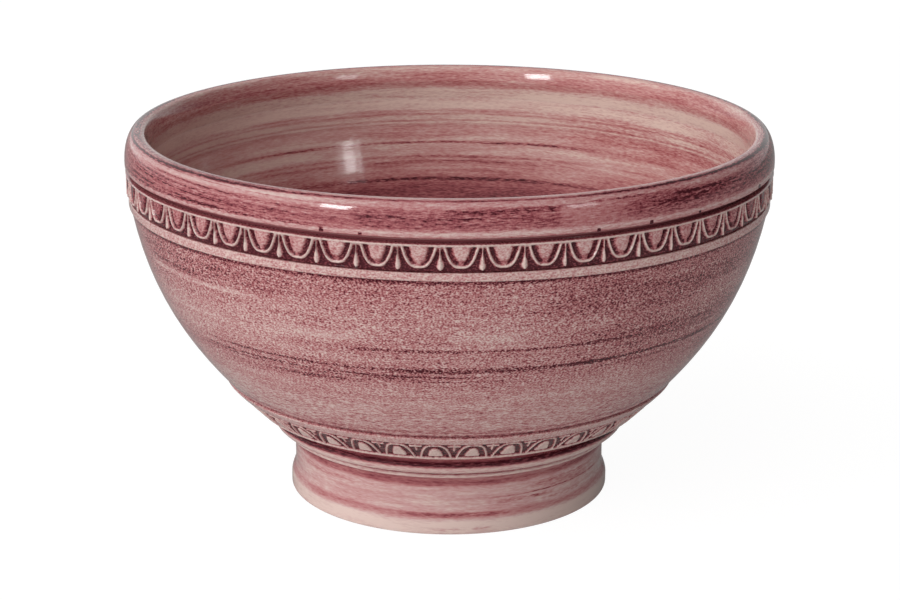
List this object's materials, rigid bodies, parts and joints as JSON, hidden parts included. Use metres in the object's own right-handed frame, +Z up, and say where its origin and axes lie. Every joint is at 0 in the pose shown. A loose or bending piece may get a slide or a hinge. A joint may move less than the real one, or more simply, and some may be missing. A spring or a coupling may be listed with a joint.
{
  "type": "salad bowl",
  "caption": "Round footed salad bowl of glazed earthenware, with a plain collar under the lip and a sunk band of egg and dart at the shoulder and above the foot.",
  "frame": {"origin": "centre of the flat ring that the foot rests on", "axes": "+Z up along the bowl's axis of turning, -Y towards the viewer of the picture, +X to the viewer's right"},
  "size_m": [0.25, 0.25, 0.1452],
  "materials": {
    "rose_glaze": "speckled rose under a clear gloss glaze",
    "foot_glaze": "banded pale rose under a clear gloss glaze",
    "collar_glaze": "streaked deep rose under a clear gloss glaze",
    "ornament_glaze": "burgundy pooled in the hollows, pale on the crowns, clear gloss glaze",
    "cream_glaze": "pale cream rose under a clear gloss glaze"
  },
  "bodies": {
    "root": {"bowl_body": "rose_glaze", "foot_ring": "foot_glaze", "lower_neck_bead": "cream_glaze", "upper_neck_bead": "cream_glaze", "lower_egg_band": "ornament_glaze", "lower_fillet": "cream_glaze", "upper_fillet": "cream_glaze", "upper_egg_band": "ornament_glaze", "rim_collar": "collar_glaze"}
  },
  "joints": []
}
